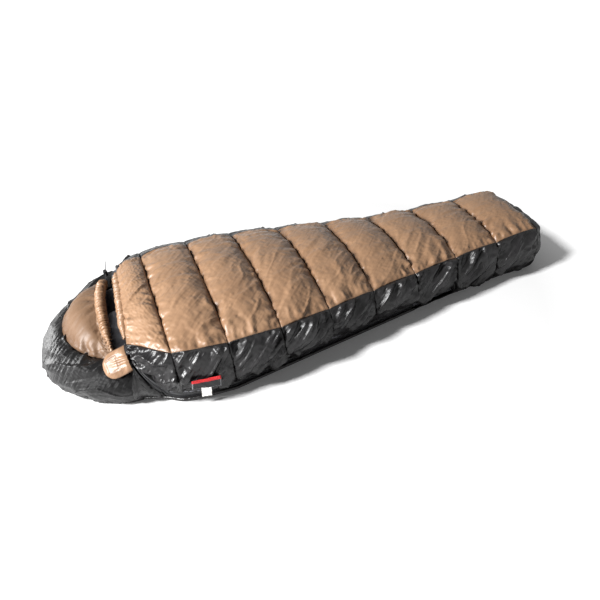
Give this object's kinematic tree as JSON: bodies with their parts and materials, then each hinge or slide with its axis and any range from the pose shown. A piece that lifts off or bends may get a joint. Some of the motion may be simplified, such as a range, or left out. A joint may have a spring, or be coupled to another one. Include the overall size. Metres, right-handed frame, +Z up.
{
  "type": "mummy sleeping bag",
  "caption": "Lofted mummy sleeping bag with baffled quilt, drawcord hood, side zip and boxed foot; the zipped side peels open.",
  "frame": {"origin": "on the ground, under the middle of the bag's length, on its centre line", "axes": "+X from the hood to the feet, -Y the zip side, +Z up"},
  "size_m": [1.9274, 0.74, 0.279],
  "materials": {
    "tan_nylon": "satin",
    "charcoal_nylon": "glossy",
    "lining_nylon": "satin",
    "down": "matte",
    "baffle_mesh": "matte",
    "zip_cloth": "matte",
    "label_cloth": "matte",
    "dark_metal": "satin",
    "black_plastic": "matte"
  },
  "bodies": {
    "base": {"bottom_shell": "charcoal_nylon", "bottom_liner": "lining_nylon", "bottom_down": "down", "foot_shell": "charcoal_nylon", "foot_liner": "lining_nylon", "foot_end_panel": "charcoal_nylon", "top_shell_foot": "tan_nylon", "top_liner_foot": "lining_nylon", "down_fill_7": "down", "down_fill_8": "down", "down_fill_9": "down", "baffle_wall_7": "baffle_mesh", "baffle_wall_8": "baffle_mesh", "hang_loop_near": "zip_cloth", "hang_loop_far": "zip_cloth", "hood_shell": "charcoal_nylon", "hood_liner": "lining_nylon", "hood_down": "down", "brow_panel": "tan_nylon", "brow_liner": "lining_nylon", "zip_tape_bottom": "zip_cloth", "zip_end_stop": "dark_metal"},
    "quilt_rear": {"top_shell_rear": "tan_nylon", "top_liner_rear": "lining_nylon", "down_fill_5": "down", "down_fill_6": "down", "baffle_wall_5": "baffle_mesh", "baffle_wall_6": "baffle_mesh", "side_shell_rear": "charcoal_nylon", "zip_tape_rear": "zip_cloth"},
    "quilt_middle": {"top_shell_middle": "tan_nylon", "top_liner_middle": "lining_nylon", "down_fill_3": "down", "down_fill_4": "down", "baffle_wall_3": "baffle_mesh", "baffle_wall_4": "baffle_mesh", "side_shell_middle": "charcoal_nylon", "zip_tape_middle": "zip_cloth"},
    "quilt_front": {"top_shell_front": "tan_nylon", "top_liner_front": "lining_nylon", "down_fill_1": "down", "down_fill_2": "down", "baffle_wall_1": "baffle_mesh", "baffle_wall_2": "baffle_mesh", "side_shell_front": "charcoal_nylon", "zip_tape_front": "zip_cloth", "neck_collar": "tan_nylon", "woven_label": "zip_cloth"},
    "closure_flap": {"closure_tab": "tan_nylon", "hook_patch": "zip_cloth"},
    "label_tag": {"side_tag": "label_cloth"},
    "upper_zip_slider": {"upper_slider": "dark_metal"},
    "upper_zip_pull": {"upper_pull": "dark_metal"},
    "lower_zip_slider": {"lower_slider": "dark_metal"},
    "lower_zip_pull": {"lower_pull": "dark_metal"},
    "brow_edge": {"cord_channel": "tan_nylon", "hood_drawcord": "zip_cloth"},
    "cord_lock": {"cord_lock_barrel": "black_plastic", "cord_lock_spring": "dark_metal"},
    "lock_button": {"cord_lock_button": "black_plastic"}
  },
  "joints": [
    {"name": "quilt_rear_fold", "type": "hinge", "parent": "base", "child": "quilt_rear", "pos_m": [0.0195, 0.309, 0.189], "axis": [-0.9782, 0.2077, 0], "range_deg": [0, 20]},
    {"name": "quilt_middle_fold", "type": "hinge", "parent": "quilt_rear", "child": "quilt_middle", "pos_m": [-0.3385, 0.358, 0.209], "axis": [-0.9965, 0.0835, 0], "range_deg": [0, 20]},
    {"name": "quilt_front_fold", "type": "hinge", "parent": "quilt_middle", "child": "quilt_front", "pos_m": [-0.3385, 0.353, 0.215], "axis": [-1, 0, 0], "range_deg": [0, 20]},
    {"name": "upper_slider_travel", "type": "slide", "parent": "base", "child": "upper_zip_slider", "axis": [0.9855, 0.1698, 0], "range_m": [0, 0.62]},
    {"name": "upper_pull_swing", "type": "hinge", "parent": "upper_zip_slider", "child": "upper_zip_pull", "pos_m": [-0.32108, -0.33489, 0.02057], "axis": [0.0433, -0.2516, 0.9669], "range_deg": [0, 150]},
    {"name": "lower_slider_travel", "type": "slide", "parent": "base", "child": "lower_zip_slider", "axis": [-0.9855, -0.1698, 0], "range_m": [0, 0.12]},
    {"name": "lower_pull_swing", "type": "hinge", "parent": "lower_zip_slider", "child": "lower_zip_pull", "pos_m": [0.33092, -0.22255, 0.02057], "axis": [-0.0433, 0.2516, -0.9669], "range_deg": [0, 150]},
    {"name": "closure_tab_flip", "type": "hinge", "parent": "quilt_front", "child": "closure_flap", "pos_m": [-0.65384, -0.18108, 0.19148], "axis": [-0.0977, 0.7707, 0.6296], "range_deg": [0, 95]},
    {"name": "side_tag_flip", "type": "hinge", "parent": "quilt_front", "child": "label_tag", "pos_m": [-0.4415, -0.34677, 0.06859], "axis": [-0.992, 0.1264, 0], "range_deg": [0, 90]},
    {"name": "brow_edge_fold", "type": "hinge", "parent": "base", "child": "brow_edge", "pos_m": [-0.697, -0.125, 0.142], "axis": [-0.088, -0.9871, -0.1334], "range_deg": [-5, 40], "deforming": ["brow_panel", "brow_liner"]},
    {"name": "cord_lock_slide", "type": "slide", "parent": "brow_edge", "child": "cord_lock", "axis": [0.1703, 0.8814, 0.4407], "range_m": [-0.012, 0.036]},
    {"name": "cord_lock_press", "type": "slide", "parent": "cord_lock", "child": "lock_button", "axis": [0.0836, 0.4327, -0.8977], "range_m": [0, 0.0035], "deforming": ["cord_lock_spring"]}
  ],
  "couplings": [
    {"joint": "quilt_middle_fold", "follows": "quilt_rear_fold", "ratio": 1},
    {"joint": "quilt_front_fold", "follows": "quilt_rear_fold", "ratio": 1},
    {"joint": "upper_slider_travel", "follows": "quilt_rear_fold", "m_per_rad": 1.776}
  ]
}
